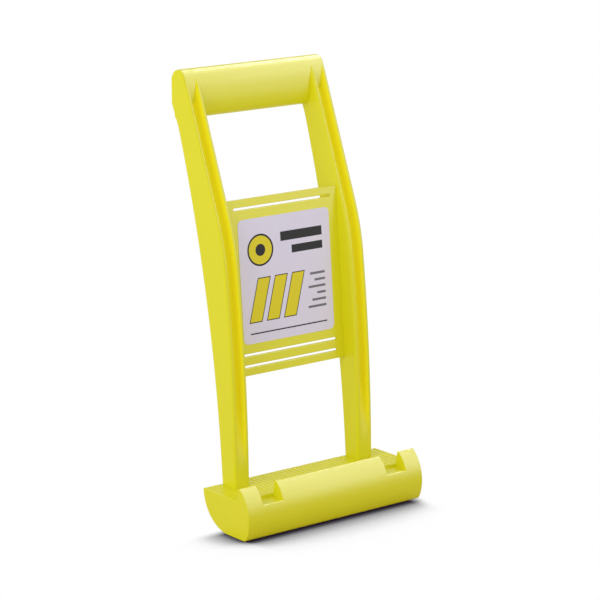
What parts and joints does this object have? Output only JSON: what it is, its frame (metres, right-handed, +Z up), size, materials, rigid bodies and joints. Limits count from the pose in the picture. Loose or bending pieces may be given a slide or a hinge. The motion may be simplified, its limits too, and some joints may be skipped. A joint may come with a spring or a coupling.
{
  "type": "panel carrier",
  "caption": "Plastic panel carrier with a full-width grip, curved H-section rails, a slotted centre plate and a ribbed half-round base with a notched lip that holds the panel's edge.",
  "frame": {"origin": "on the floor, below the middle of the whole carrier's box", "axes": "+X to the right along the base when the lip faces the viewer, +Y from the lip towards the rails and the back, +Z up"},
  "size_m": [0.165, 0.113, 0.332],
  "materials": {
    "yellow_plastic": "satin moulded plastic",
    "label_film": "smooth printed film"
  },
  "bodies": {
    "root": {"grip_bar": "yellow_plastic", "left_rail": "yellow_plastic", "right_rail": "yellow_plastic", "centre_plate": "yellow_plastic", "label": "label_film", "tray_deck": "yellow_plastic", "tray_ribs": "yellow_plastic", "left_lip": "yellow_plastic", "middle_lip": "yellow_plastic", "right_lip": "yellow_plastic", "front_wall": "yellow_plastic", "back_wall": "yellow_plastic", "left_end_wall": "yellow_plastic", "right_end_wall": "yellow_plastic", "core_ribs": "yellow_plastic"}
  },
  "joints": []
}
